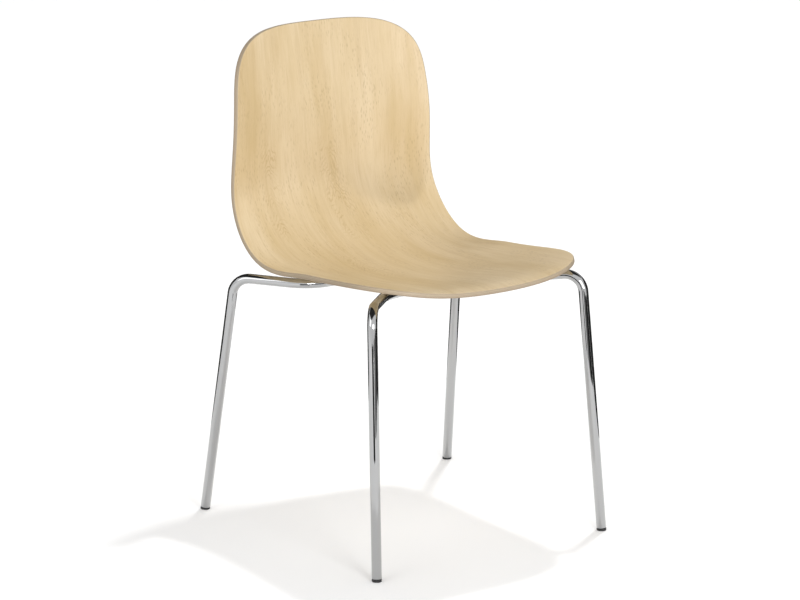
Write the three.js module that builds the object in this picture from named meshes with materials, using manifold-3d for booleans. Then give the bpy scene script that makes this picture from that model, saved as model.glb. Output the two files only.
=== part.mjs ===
// Stacking chair: one bent plywood shell on two bent chrome tubes.
// Millimetres, +Z up. The sitter faces -Y, and X runs across the seat.
// The origin is on the floor, at the middle of the chair's footprint box.

import * as THREE from 'three';
import { mergeVertices } from 'three/addons/utils/BufferGeometryUtils.js';
import Module from 'manifold-3d';

const wasm = await Module();
wasm.setup();

// ---------------------------------------------------------------- sizes

const GAP = 0.3; // clearance between pieces that touch

// Plywood shell. Its centre line starts at the seat's front edge and is described
// by the distance along it: [distance, value].
const SHELL_LENGTH = 790;
const SHELL_THICKNESS = 8;
const FRONT_EDGE_Y = -264.4;
const FRONT_EDGE_Z = 443.5;
// Slope of the centre line in degrees above horizontal, going backwards and up.
const SLOPE = [
  [0, 8], [50, -6], [160, -7], [300, 5], [395, 23], [475, 48.5], [570, 86], [680, 79], [790, 81.5],
];
// Half width of the shell, before its corners are rounded.
const HALF_WIDTH = [
  [0, 215], [160, 204], [300, 201], [410, 204], [520, 199.5], [650, 195.5], [790, 181],
];
// Cupping: how far a point CUP_SPAN from the centre line stands towards the sitter.
const CUP_SPAN = 200;
const CUP_RISE = [[0, 17], [240, 22], [395, -1], [570, 28.5], [790, 52.5]];
// Rounded corners, as superellipses.
const FRONT_CORNER = { length: 165, power: 3.2 };
const TOP_CORNER = { length: 115, power: 3.3 };
const EDGE_FLAT = 0.3; // share of the front and top edges that is straight
const SHELL_GRID = { columns: 18, cornerRows: 7, sideRows: 24 };

// Bent tubes. Points are the corners of the centre line before it is bent.
const TUBE_RADIUS = 8;
const TUBE_BORE = 6;
const LEG_BEND_RADIUS = 30;
const TUBE_SIDES = 16;
const ARC_STEPS = 8; // for a quarter turn
const SMALL_SIDES = 20; // of screws, washers and other small round pieces
const FRONT_TUBE = { foot: [224, -250], shoulder: [206, -211, 429], bar: [80, -69, 405], barRadius: 110 };
const REAR_TUBE = { foot: [249, 217], shoulder: [225.5, 155, 408], bar: [140, 62, 402], barRadius: 80 };
const BAR_DEPTH = REAR_TUBE.bar[1] - FRONT_TUBE.bar[1]; // between the cross bars' centre lines
const BAR_MIDDLE = (REAR_TUBE.bar[1] + FRONT_TUBE.bar[1]) / 2;

// Steel plate welded between the two cross bars.
const PLATE = { width: 120, thickness: 4, z: 403.5, cornerRadius: 8, boltHole: 3.5, centreHole: 18 };
const PLATE_TOP = PLATE.z + PLATE.thickness / 2;
const PLATE_BOTTOM = PLATE.z - PLATE.thickness / 2;
const HOLE_SEGMENTS = 6; // for a quarter turn
const BOLT_X = 43; // from the plate's middle
const BOLT_Y = 38;

// Seat screws and what they clamp.
const SCREW = {
  radius: 3, top: 419.5, point: 1, headHeight: 3.4, headRadius: 5.3, faceRadius: 3.2,
  domeRadius: 4.8, domeHeight: 1.4, socketRadius: 2, socketDepth: 2, socketSides: 6,
};
const WASHER = { radius: 8, hole: 3.3, thickness: 1.4 };
const SPACER = { radius: 13, hole: 3.5 };
const INSERT = { radius: 4.6, flangeRadius: 7, flangeHeight: 1, recess: 0.9, hole: 3.3, bodyTop: 421.5 };
const CUT = 1; // how far a cutting shape reaches past what it cuts

// Glides in the leg ends.
const GLIDE = {
  sole: 4, below: 6, coreRadius: 4.8, ribRadius: 5.6, ribHeight: 2, plugLength: 18, ribs: 2, tip: 1,
};

// ---------------------------------------------------------------- finishes

const finishes = {
  veneer: { color: 0xd9bd8f, roughness: 0.45, metalness: 0 },
  chrome: { color: 0xc9cbcd, roughness: 0.12, metalness: 1 },
  steel: { color: 0x8d9094, roughness: 0.35, metalness: 1 },
  zinc: { color: 0xb9bcbe, roughness: 0.4, metalness: 1 },
  plastic: { color: 0x1b1b1c, roughness: 0.6, metalness: 0 },
};

const chair = new THREE.Group();

function place(name, finish, geometry) {
  const mesh = new THREE.Mesh(geometry, new THREE.MeshStandardMaterial(finishes[finish]));
  mesh.name = name;
  chair.add(mesh);
  return mesh;
}

// ---------------------------------------------------------------- solids and booleans

const SAME_POINT = 1e-4; // points closer than this are one

function toSolid(geometry) {
  const bare = geometry.clone();
  bare.deleteAttribute('normal');
  bare.deleteAttribute('uv');
  const merged = mergeVertices(bare, SAME_POINT);
  return new wasm.Manifold(new wasm.Mesh({
    numProp: 3,
    vertProperties: new Float32Array(merged.attributes.position.array),
    triVerts: new Uint32Array(merged.index.array),
  }));
}

function toGeometry(solid) {
  const mesh = solid.getMesh();
  const geometry = new THREE.BufferGeometry();
  geometry.setAttribute('position', new THREE.BufferAttribute(mesh.vertProperties, 3));
  geometry.setIndex(new THREE.BufferAttribute(mesh.triVerts, 1));
  geometry.computeVertexNormals();
  return geometry;
}

// A solid turned about Z, from a closed profile of [radius, height] points.
function turned(profile, sides) {
  const points = profile.map(([radius, height]) => new THREE.Vector2(radius, height));
  const geometry = new THREE.LatheGeometry(points, sides);
  geometry.rotateX(Math.PI / 2);
  return geometry;
}

// An upright ring.
function ring(outer, inner, bottom, top) {
  const profile = [[inner, bottom], [outer, bottom], [outer, top], [inner, top], [inner, bottom]];
  return turned(profile, SMALL_SIDES);
}

// ---------------------------------------------------------------- plywood shell

// Smooth curve through [distance, value] knots, read at one distance.
function smooth(knots, distance) {
  const last = knots.length - 1;
  const slopeAt = (i) => {
    const a = knots[Math.max(i - 1, 0)];
    const b = knots[Math.min(i + 1, last)];
    return (b[1] - a[1]) / (b[0] - a[0]);
  };
  let i = 0;
  while (i < last - 1 && distance > knots[i + 1][0]) {
    i += 1;
  }
  const span = knots[i + 1][0] - knots[i][0];
  const t = (distance - knots[i][0]) / span;
  const rise = knots[i + 1][1] - knots[i][1];
  const bend = (1 - t) * (slopeAt(i) * span - rise) - t * (slopeAt(i + 1) * span - rise);
  return knots[i][1] + t * rise + t * (1 - t) * bend;
}

// Centre line of the sitter's face, integrated from its slope.
const LINE_STEP = 1;
const centreLine = [{ y: FRONT_EDGE_Y, z: FRONT_EDGE_Z }];
for (let s = 0; s < SHELL_LENGTH; s += LINE_STEP) {
  const slope = THREE.MathUtils.degToRad(smooth(SLOPE, s + LINE_STEP / 2));
  const from = centreLine[centreLine.length - 1];
  centreLine.push({ y: from.y + LINE_STEP * Math.cos(slope), z: from.z + LINE_STEP * Math.sin(slope) });
}

const LEAST_CURVATURE = 1e-9; // keeps the formula defined where the shell is flat across

// A point of the shell: across from the centre line, along it, and below the sitter's face.
function shellPoint(across, along, depth) {
  const index = Math.min(Math.floor(along / LINE_STEP), centreLine.length - 2);
  const part = along / LINE_STEP - index;
  const y = THREE.MathUtils.lerp(centreLine[index].y, centreLine[index + 1].y, part);
  const z = THREE.MathUtils.lerp(centreLine[index].z, centreLine[index + 1].z, part);
  const slope = THREE.MathUtils.degToRad(smooth(SLOPE, along));
  const curvature = 2 * smooth(CUP_RISE, along) / CUP_SPAN ** 2 || LEAST_CURVATURE;
  const turn = across * curvature;
  const inward = (1 - Math.cos(turn)) / curvature - depth * Math.cos(turn);
  return new THREE.Vector3(
    Math.sin(turn) / curvature + depth * Math.sin(turn),
    y - inward * Math.sin(slope),
    z + inward * Math.cos(slope),
  );
}

// Rows of the shell, each with its distance along and its half width. Turning a
// superellipse's angle in equal steps puts the rows close together in the corners.
function shellRows(cornerRows, sideRows) {
  const corner = (angle, { length, power }) => ({
    inset: length * (1 - Math.cos(angle) ** (2 / power)),
    share: Math.sin(angle) ** (2 / power),
  });
  const firstAngle = Math.asin(EDGE_FLAT ** (FRONT_CORNER.power / 2));
  const angles = [];
  for (let i = 0; i < cornerRows; i += 1) {
    angles.push(THREE.MathUtils.lerp(firstAngle, Math.PI / 2, i / cornerRows));
  }
  const rows = angles.map((angle) => {
    const { inset, share } = corner(angle, FRONT_CORNER);
    return { along: inset, half: smooth(HALF_WIDTH, inset) * share };
  });
  const sideEnd = SHELL_LENGTH - TOP_CORNER.length;
  for (let i = 0; i <= sideRows; i += 1) {
    const along = THREE.MathUtils.lerp(FRONT_CORNER.length, sideEnd, i / sideRows);
    rows.push({ along, half: smooth(HALF_WIDTH, along) });
  }
  for (const angle of angles.reverse()) {
    const { inset, share } = corner(angle, TOP_CORNER);
    const along = SHELL_LENGTH - inset;
    rows.push({ along, half: smooth(HALF_WIDTH, along) * share });
  }
  rows[0].along = 0;
  rows[rows.length - 1].along = SHELL_LENGTH;
  return rows;
}

// The shell's sheet between two depths, as a box whose grid is bent to shape.
function bentSheet(nearDepth, farDepth) {
  const rows = shellRows(SHELL_GRID.cornerRows, SHELL_GRID.sideRows);
  const sheet = new THREE.BoxGeometry(2, rows.length - 1, 1, SHELL_GRID.columns, rows.length - 1, 1);
  const position = sheet.attributes.position;
  for (let i = 0; i < position.count; i += 1) {
    const row = rows[Math.round(position.getY(i) + (rows.length - 1) / 2)];
    const depth = position.getZ(i) > 0 ? nearDepth : farDepth;
    const point = shellPoint(position.getX(i) * row.half, row.along, depth);
    position.setXYZ(i, point.x, point.y, point.z);
  }
  return sheet;
}

const boltPlaces = [];
for (const [side, x] of [['left', -BOLT_X], ['right', BOLT_X]]) {
  for (const [end, y] of [['front', -BOLT_Y], ['rear', BOLT_Y]]) {
    boltPlaces.push({ name: `${end}_${side}`, x, y: y + BAR_MIDDLE });
  }
}

// A thick layer from the shell's underside upwards, with a small clearance below it.
const LAYER_HEIGHT = 50;
const aboveUnderside = toSolid(bentSheet(SHELL_THICKNESS - LAYER_HEIGHT, SHELL_THICKNESS + GAP));

function addShell() {
  let shell = toSolid(bentSheet(0, SHELL_THICKNESS));
  for (const { x, y } of boltPlaces) {
    const flangeTop = undersideAt(x, y) + INSERT.recess + INSERT.flangeHeight;
    const bore = turned([
      [0, PLATE_TOP],
      [INSERT.flangeRadius + GAP, PLATE_TOP],
      [INSERT.flangeRadius + GAP, flangeTop + GAP],
      [INSERT.radius + GAP, flangeTop + GAP],
      [INSERT.radius + GAP, INSERT.bodyTop + GAP],
      [0, INSERT.bodyTop + GAP],
    ], SMALL_SIDES);
    bore.translate(x, y, 0);
    shell = shell.subtract(toSolid(bore));
  }
  place('seat_shell', 'veneer', toGeometry(shell));
}

// Height of the shell's underside above a point of the seat near its middle.
function undersideAt(x, y) {
  let along = 0;
  while (shellPoint(x, along, SHELL_THICKNESS).y < y) {
    along += 1;
  }
  return shellPoint(x, along, SHELL_THICKNESS).z;
}

// ---------------------------------------------------------------- bent tubes

// A path of straight stretches joined by arcs, read only at the stations where
// its shape needs a section.
class BentPath extends THREE.Curve {
  constructor(corners, radii) {
    super();
    this.stations = [];
    const add = (point, tangent) => this.stations.push({ point, tangent: tangent.clone().normalize() });
    add(corners[0], corners[1].clone().sub(corners[0]));
    for (let i = 1; i < corners.length - 1; i += 1) {
      const before = corners[i].clone().sub(corners[i - 1]).normalize();
      const after = corners[i + 1].clone().sub(corners[i]).normalize();
      const angle = before.angleTo(after);
      const radius = radii[i - 1];
      const start = corners[i].clone().addScaledVector(before, -radius * Math.tan(angle / 2));
      const inward = after.clone().addScaledVector(before, -before.dot(after)).normalize();
      const steps = Math.ceil(ARC_STEPS * angle / (Math.PI / 2));
      for (let step = 0; step <= steps; step += 1) {
        const turn = angle * step / steps;
        const point = start.clone();
        point.addScaledVector(before, radius * Math.sin(turn));
        point.addScaledVector(inward, radius * (1 - Math.cos(turn)));
        const tangent = before.clone().multiplyScalar(Math.cos(turn));
        add(point, tangent.addScaledVector(inward, Math.sin(turn)));
      }
    }
    const last = corners[corners.length - 1];
    add(last, last.clone().sub(corners[corners.length - 2]));
  }

  get count() {
    return this.stations.length - 1;
  }

  getPointAt(share) {
    return this.stations[Math.round(share * this.count)].point.clone();
  }

  getTangentAt(share) {
    return this.stations[Math.round(share * this.count)].tangent.clone();
  }
}

function circle(x, y, radius) {
  const path = new THREE.Path();
  path.absarc(x, y, radius, 0, 2 * Math.PI, true);
  return path;
}

// The tube's ring section swept along a path.
function sweptTube(path) {
  const section = new THREE.Shape();
  section.absarc(0, 0, TUBE_RADIUS, 0, 2 * Math.PI);
  section.holes.push(circle(0, 0, TUBE_BORE));
  return new THREE.ExtrudeGeometry(section, {
    steps: path.count,
    curveSegments: TUBE_SIDES / 2,
    extrudePath: path,
  });
}

// Direction of a leg, from its foot up to its shoulder.
function legAxis({ foot, shoulder }) {
  return new THREE.Vector3(shoulder[0] - foot[0], shoulder[1] - foot[1], shoulder[2]).normalize();
}

// Centre line of one tube, from the right foot over the cross bar to the left foot.
function tubePath(tube) {
  const end = new THREE.Vector3(tube.foot[0], tube.foot[1], 0);
  end.addScaledVector(legAxis(tube), GLIDE.sole + GAP);
  const half = [end, new THREE.Vector3(...tube.shoulder), new THREE.Vector3(...tube.bar)];
  const mirrored = half.map((point) => new THREE.Vector3(-point.x, point.y, point.z)).reverse();
  const radii = [LEG_BEND_RADIUS, tube.barRadius, tube.barRadius, LEG_BEND_RADIUS];
  return new BentPath([...half, ...mirrored], radii);
}

function addTubes() {
  place('front_leg_tube', 'chrome', sweptTube(tubePath(FRONT_TUBE)));
  place('rear_leg_tube', 'chrome', sweptTube(tubePath(REAR_TUBE)));
}

// ---------------------------------------------------------------- mounting plate

// Rectangle with rounded corners about the origin, as a shape.
function roundedRectangle(width, depth, radius) {
  const x = width / 2 - radius;
  const y = depth / 2 - radius;
  const shape = new THREE.Shape();
  shape.absarc(x, y, radius, 0, Math.PI / 2);
  shape.absarc(-x, y, radius, Math.PI / 2, Math.PI);
  shape.absarc(-x, -y, radius, Math.PI, 1.5 * Math.PI);
  shape.absarc(x, -y, radius, 1.5 * Math.PI, 2 * Math.PI);
  return shape;
}

function addPlate() {
  const outline = roundedRectangle(PLATE.width, BAR_DEPTH - 2 * (TUBE_RADIUS + GAP), PLATE.cornerRadius);
  for (const [x, y] of [[-1, -1], [1, -1], [-1, 1], [1, 1]]) {
    outline.holes.push(circle(x * BOLT_X, y * BOLT_Y, PLATE.boltHole));
  }
  outline.holes.push(circle(0, 0, PLATE.centreHole));
  const plate = new THREE.ExtrudeGeometry(outline, {
    depth: PLATE.thickness,
    bevelEnabled: false,
    curveSegments: HOLE_SEGMENTS,
  });
  const mesh = place('mounting_plate', 'steel', plate);
  mesh.position.set(0, BAR_MIDDLE, PLATE_BOTTOM);
}

// ---------------------------------------------------------------- seat fixings

// Spacer between plate and shell, its top cut to the shell's underside.
function addSpacer({ name, x, y }) {
  const above = undersideAt(x, y) + SHELL_THICKNESS;
  const blank = ring(SPACER.radius, SPACER.hole, PLATE_TOP + GAP, above);
  blank.translate(x, y, 0);
  place(`seat_spacer_${name}`, 'plastic', toGeometry(toSolid(blank).subtract(aboveUnderside)));
}

function addWasher({ name, x, y }) {
  const top = PLATE_BOTTOM - GAP;
  const body = ring(WASHER.radius, WASHER.hole, top - WASHER.thickness, top);
  const washer = place(`screw_washer_${name}`, 'zinc', body);
  washer.position.set(x, y, 0);
}

// Button-head screw with a hexagon socket, driven from below.
function addScrew({ name, x, y }) {
  const seat = PLATE_BOTTOM - WASHER.thickness - 2 * GAP;
  const bottom = seat - SCREW.headHeight;
  const body = toSolid(turned([
    [0, bottom],
    [SCREW.faceRadius, bottom],
    [SCREW.domeRadius, bottom + SCREW.domeHeight],
    [SCREW.headRadius, seat],
    [SCREW.radius, seat],
    [SCREW.radius, SCREW.top - SCREW.point],
    [SCREW.radius - SCREW.point, SCREW.top],
    [0, SCREW.top],
  ], SMALL_SIDES));
  const socket = turned([
    [0, bottom - CUT],
    [SCREW.socketRadius, bottom - CUT],
    [SCREW.socketRadius, bottom + SCREW.socketDepth],
    [0, bottom + SCREW.socketDepth],
  ], SCREW.socketSides);
  const screw = place(`seat_screw_${name}`, 'zinc', toGeometry(body.subtract(toSolid(socket))));
  screw.position.set(x, y, 0);
}

// Flanged threaded insert pressed into the shell from below.
function addInsert({ name, x, y }) {
  const { radius, flangeRadius, flangeHeight, recess, hole, bodyTop } = INSERT;
  const bottom = undersideAt(x, y) + recess;
  const flangeTop = bottom + flangeHeight;
  const profile = [
    [hole, bottom],
    [flangeRadius, bottom],
    [flangeRadius, flangeTop],
    [radius, flangeTop],
    [radius, bodyTop],
    [hole, bodyTop],
    [hole, bottom],
  ];
  const insert = place(`threaded_insert_${name}`, 'zinc', turned(profile, SMALL_SIDES));
  insert.position.set(x, y, 0);
}

// ---------------------------------------------------------------- foot glides

// Moulded glide: a ribbed plug in the tube and a sole cut level with the floor.
function addGlide(end, tube, { side, sign }) {
  const { sole, below, coreRadius, ribRadius, ribHeight, plugLength, ribs, tip } = GLIDE;
  const profile = [[0, -below], [TUBE_RADIUS, -below], [TUBE_RADIUS, sole], [coreRadius, sole]];
  const pitch = plugLength / (ribs + 1);
  for (let rib = 1; rib <= ribs; rib += 1) {
    const ribTop = sole + rib * pitch;
    profile.push([coreRadius, ribTop - ribHeight]);
    profile.push([ribRadius, ribTop - ribHeight / 2]);
    profile.push([ribRadius, ribTop]);
    profile.push([coreRadius, ribTop]);
  }
  profile.push([coreRadius, sole + plugLength - tip]);
  profile.push([coreRadius - tip, sole + plugLength]);
  profile.push([0, sole + plugLength]);
  const blank = turned(profile, TUBE_SIDES);
  const lean = legAxis(tube);
  lean.x *= sign;
  blank.applyQuaternion(new THREE.Quaternion().setFromUnitVectors(new THREE.Vector3(0, 0, 1), lean));
  const floor = new THREE.BoxGeometry(4 * TUBE_RADIUS, 4 * TUBE_RADIUS, 4 * below);
  floor.translate(0, 0, -2 * below);
  const level = toSolid(blank).subtract(toSolid(floor));
  const glide = place(`foot_glide_${end}_${side}`, 'plastic', toGeometry(level));
  glide.position.set(sign * tube.foot[0], tube.foot[1], 0);
}

// ---------------------------------------------------------------- assembly

addShell();
addTubes();
addPlate();
for (const bolt of boltPlaces) {
  addSpacer(bolt);
  addWasher(bolt);
  addScrew(bolt);
  addInsert(bolt);
}
for (const [end, tube] of [['front', FRONT_TUBE], ['rear', REAR_TUBE]]) {
  for (const [side, sign] of [['left', -1], ['right', 1]]) {
    addGlide(end, tube, { side, sign });
  }
}

export default chair;
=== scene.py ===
import math
import random

import bmesh
import bpy
import numpy as np
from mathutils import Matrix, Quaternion, Vector


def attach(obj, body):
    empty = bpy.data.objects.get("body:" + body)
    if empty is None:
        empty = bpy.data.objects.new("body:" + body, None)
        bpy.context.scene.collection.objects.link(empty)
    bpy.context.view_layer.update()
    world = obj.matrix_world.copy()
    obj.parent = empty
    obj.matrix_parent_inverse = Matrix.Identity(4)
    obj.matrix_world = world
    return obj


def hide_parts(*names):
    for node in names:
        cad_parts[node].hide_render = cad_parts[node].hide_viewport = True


# Looks of the stacking chair: a veneered plywood shell on two chromed tubes.
# Metres, +Z up, X across the seat, the sitter faces -Y.

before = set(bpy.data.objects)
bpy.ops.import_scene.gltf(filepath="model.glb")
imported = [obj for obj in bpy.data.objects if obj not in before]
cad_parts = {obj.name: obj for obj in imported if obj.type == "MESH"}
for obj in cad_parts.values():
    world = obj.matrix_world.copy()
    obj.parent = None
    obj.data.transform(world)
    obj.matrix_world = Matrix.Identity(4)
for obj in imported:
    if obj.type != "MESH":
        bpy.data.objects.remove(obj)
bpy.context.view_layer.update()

# ------------------------------------------------------------------ sizes, as in the CAD

GAP = 0.0003

SHELL_LENGTH = 0.790
SHELL_THICKNESS = 0.008
FRONT_EDGE_Y = -0.2644
FRONT_EDGE_Z = 0.4435
SLOPE = [
    (0.000, 8), (0.050, -6), (0.160, -7), (0.300, 5), (0.395, 23),
    (0.475, 48.5), (0.570, 86), (0.680, 79), (0.790, 81.5),
]
HALF_WIDTH = [
    (0.000, 0.215), (0.160, 0.204), (0.300, 0.201), (0.410, 0.204),
    (0.520, 0.1995), (0.650, 0.1955), (0.790, 0.181),
]
CUP_SPAN = 0.200
CUP_RISE = [(0.000, 0.017), (0.240, 0.022), (0.395, -0.001), (0.570, 0.0285), (0.790, 0.0525)]
# Corners: (length along, power of the curve).
FRONT_CORNER = (0.165, 3.2)
TOP_CORNER = (0.115, 3.3)

TUBE_RADIUS = 0.008
TUBE_BORE = 0.006
LEG_BEND_RADIUS = 0.030
FRONT_TUBE = {
    "foot": (0.224, -0.250), "shoulder": (0.206, -0.211, 0.429),
    "bar": (0.080, -0.069, 0.405), "bar_radius": 0.110,
}
REAR_TUBE = {
    "foot": (0.249, 0.217), "shoulder": (0.2255, 0.155, 0.408),
    "bar": (0.140, 0.062, 0.402), "bar_radius": 0.080,
}
TUBES = {"front": FRONT_TUBE, "rear": REAR_TUBE}
SIDES = {"left": -1, "right": 1}
BAR_DEPTH = REAR_TUBE["bar"][1] - FRONT_TUBE["bar"][1]
BAR_MIDDLE_Y = (FRONT_TUBE["bar"][1] + REAR_TUBE["bar"][1]) / 2

PLATE_WIDTH = 0.120
PLATE_THICKNESS = 0.004
PLATE_Z = 0.4035
PLATE_CORNER = 0.008
PLATE_BOLT_HOLE = 0.0035
PLATE_CENTRE_HOLE = 0.018
BOLT_X = 0.043
BOLT_Y = 0.038

SCREW_RADIUS = 0.003
SCREW_HEAD_RADIUS = 0.0053
SCREW_HEAD_HEIGHT = 0.0034
SCREW_SOCKET_RADIUS = 0.002
SCREW_SOCKET_DEPTH = 0.002
SCREW_TOP = 0.4195
WASHER_RADIUS = 0.008
WASHER_HOLE = 0.0033
WASHER_THICKNESS = 0.0014
SPACER_RADIUS = 0.013
SPACER_HOLE = 0.0035
INSERT_RADIUS = 0.0046
INSERT_FLANGE_RADIUS = 0.007
INSERT_FLANGE_HEIGHT = 0.001
INSERT_RECESS = 0.0009
INSERT_HOLE = 0.0033
INSERT_TOP = 0.4215

GLIDE_SOLE = 0.004
GLIDE_CORE = 0.0048
GLIDE_RIB = 0.0056
GLIDE_RIB_HEIGHT = 0.002
GLIDE_PLUG = 0.018
GLIDE_RIBS = 2
GLIDE_TIP = 0.001

# ------------------------------------------------------------------ shell surface


def smooth(knots, places):
    """Smooth curve through (distance, value) knots, read at an array of distances."""
    x, y = np.array(knots, float).T
    rate = np.empty_like(y)
    rate[1:-1] = (y[2:] - y[:-2]) / (x[2:] - x[:-2])
    rate[0] = (y[1] - y[0]) / (x[1] - x[0])
    rate[-1] = (y[-1] - y[-2]) / (x[-1] - x[-2])
    i = np.clip(np.searchsorted(x, places, side="right") - 1, 0, len(x) - 2)
    span = x[i + 1] - x[i]
    rise = y[i + 1] - y[i]
    t = (places - x[i]) / span
    bend = (1 - t) * (rate[i] * span - rise) - t * (rate[i + 1] * span - rise)
    return y[i] + t * rise + t * (1 - t) * bend


LINE_STEP = 0.001
LEAST_CURVATURE = 1e-6
SEAT_SEARCH = (0.01, 0.45)
SEARCH_STEPS = 40
CORNER_SAMPLES = 900
SIDE_SAMPLES = 600

line_places = np.arange(round(SHELL_LENGTH / LINE_STEP) + 1) * LINE_STEP
line_slopes = np.radians(smooth(SLOPE, line_places[:-1] + LINE_STEP / 2))
line_y = FRONT_EDGE_Y + np.concatenate([[0], np.cumsum(np.cos(line_slopes))]) * LINE_STEP
line_z = FRONT_EDGE_Z + np.concatenate([[0], np.cumsum(np.sin(line_slopes))]) * LINE_STEP


def cup_curvature(along):
    """Curvature of the shell across its centre line, never quite flat."""
    curvature = 2 * smooth(CUP_RISE, along) / CUP_SPAN**2
    return np.where(np.abs(curvature) < LEAST_CURVATURE, LEAST_CURVATURE, curvature)


def shell_points(across, along, depth):
    """Points of the shell: across from its centre line, along it, and below the sitter's face."""
    slope = np.radians(smooth(SLOPE, along))
    curvature = cup_curvature(along)
    turn = across * curvature
    inward = (1 - np.cos(turn)) / curvature - depth * np.cos(turn)
    x = np.sin(turn) / curvature + depth * np.sin(turn)
    y = np.interp(along, line_places, line_y) - inward * np.sin(slope)
    z = np.interp(along, line_places, line_z) + inward * np.cos(slope)
    return np.stack([x, y, z], -1)


def underside_height(x, y):
    """Height of the shell's underside above points of the seat."""
    x = np.asarray(x, float)
    y = np.asarray(y, float)
    low = np.full(x.shape, SEAT_SEARCH[0])
    high = np.full(x.shape, SEAT_SEARCH[1])
    for _ in range(SEARCH_STEPS):
        middle = (low + high) / 2
        place = shell_points(across_at(x, middle), middle, SHELL_THICKNESS)
        ahead = place[..., 1] < y
        low = np.where(ahead, middle, low)
        high = np.where(ahead, high, middle)
    return shell_points(across_at(x, low), low, SHELL_THICKNESS)[..., 2]


def across_at(x, along):
    """Distance across the shell of an underside point that lies at x."""
    curvature = cup_curvature(along)
    return np.arcsin(x / (1 / curvature + SHELL_THICKNESS)) / curvature


def even_points(loop, count):
    """count points at even distances around a closed loop, and those distances."""
    lengths = np.concatenate([[0], np.cumsum(np.linalg.norm(np.diff(loop, axis=0), axis=1))])
    even = np.linspace(0, lengths[-1], count + 1)[:-1]
    x = np.interp(even, lengths, loop[:, 0])
    y = np.interp(even, lengths, loop[:, 1])
    return np.stack([x, y], -1), even


def shell_outline(count):
    """Outline of the flat shell as count (across, along) points at even distances."""
    angles = np.linspace(0, math.pi / 2, CORNER_SAMPLES)

    def corner(length, power):
        inset = length * (1 - np.cos(angles) ** (2 / power))
        return inset, np.sin(angles) ** (2 / power)

    front_inset, front_share = corner(*FRONT_CORNER)
    top_inset, top_share = corner(*TOP_CORNER)
    sides = np.linspace(FRONT_CORNER[0], SHELL_LENGTH - TOP_CORNER[0], SIDE_SAMPLES)[1:-1]
    along = np.concatenate([front_inset, sides, (SHELL_LENGTH - top_inset)[::-1]])
    share = np.concatenate([front_share, np.ones(len(sides)), top_share[::-1]])
    right = np.stack([smooth(HALF_WIDTH, along) * share, along], -1)
    left = right[::-1][1:-1] * (-1, 1)
    return even_points(np.concatenate([right, left, right[:1]]), count)


# ------------------------------------------------------------------ mesh helpers

# Points closer than SAME_POINT become one. A ring of POINT_RADIUS closes a body in one point.
SAME_POINT = 5e-6
POINT_RADIUS = 1e-6


def add_object(name, data):
    thing = bpy.data.objects.new(name, data)
    bpy.context.scene.collection.objects.link(thing)
    return thing


def add_mesh(name, vertices, faces, materials, face_material=None, uv_layers=None):
    """A smooth-shaded mesh object. uv_layers gives each layer a (u, v) for every vertex."""
    mesh = bpy.data.meshes.new(name)
    mesh.from_pydata([tuple(v) for v in vertices], [], [tuple(f) for f in faces])
    for material in materials:
        mesh.materials.append(material)
    mesh.polygons.foreach_set("use_smooth", [True] * len(mesh.polygons))
    if face_material is not None:
        mesh.polygons.foreach_set("material_index", face_material)
    loops = np.empty(len(mesh.loops), np.int32)
    mesh.loops.foreach_get("vertex_index", loops)
    for layer, values in (uv_layers or {}).items():
        uv = mesh.uv_layers.new(name=layer)
        per_corner = np.asarray(values, float)[loops]
        uv.data.foreach_set("uv", per_corner.astype(np.float32).ravel())
    mesh.validate()
    return add_object(name, mesh)


def sharpen(piece, degrees):
    """Marks edges sharper than an angle, so that only rounded parts shade smoothly."""
    piece.data.set_sharp_from_angle(angle=math.radians(degrees))


def stand_for(piece, node):
    """The piece rides with the chair and takes the place of a CAD node, which it hides."""
    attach(piece, "root")
    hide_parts(node)
    return piece


def ring_faces(rings, count, closed=False):
    """Quads between neighbouring rings of count points each, looking outwards for rings that go up."""
    faces = []
    pairs = rings if closed else rings - 1
    for ring in range(pairs):
        above = (ring + 1) % rings
        for i in range(count):
            j = (i + 1) % count
            faces.append((ring * count + i, ring * count + j, above * count + j, above * count + i))
    return faces


def turned(name, profile, sides, material, origin, shape=None):
    """A ring turned about Z from a closed section of (radius, height) points that go up its outside.

    shape may move the points of one turn: it gets the turn's index, the x, y offsets and the
    heights, and returns the new heights.
    """
    angles = np.linspace(0, 2 * math.pi, sides, endpoint=False)
    circle = np.stack([np.cos(angles), np.sin(angles)], -1)
    vertices = []
    for index, (radius, height) in enumerate(profile):
        flat = circle * radius
        heights = np.full(sides, float(height))
        if shape is not None:
            heights = shape(index, flat, heights)
        vertices.append(np.column_stack([flat, heights]))
    vertices = np.concatenate(vertices) + np.array(origin)
    distance = [0.0]
    for before, after in zip(profile, profile[1:]):
        distance.append(distance[-1] + math.dist(before, after))
    uv = [(a * profile[ring][0], distance[ring]) for ring in range(len(profile)) for a in angles]
    faces = ring_faces(len(profile), sides, closed=True)
    piece = add_mesh(name, vertices, faces, [material], uv_layers={"surface": uv})
    weld_points(piece)
    return piece


def weld_points(piece):
    """Joins points that fell together and turns all faces outwards."""
    work = bmesh.new()
    work.from_mesh(piece.data)
    bmesh.ops.remove_doubles(work, verts=work.verts, dist=SAME_POINT)
    bmesh.ops.recalc_face_normals(work, faces=work.faces)
    work.to_mesh(piece.data)
    work.free()
    piece.data.update()


# ------------------------------------------------------------------ node helpers


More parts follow.
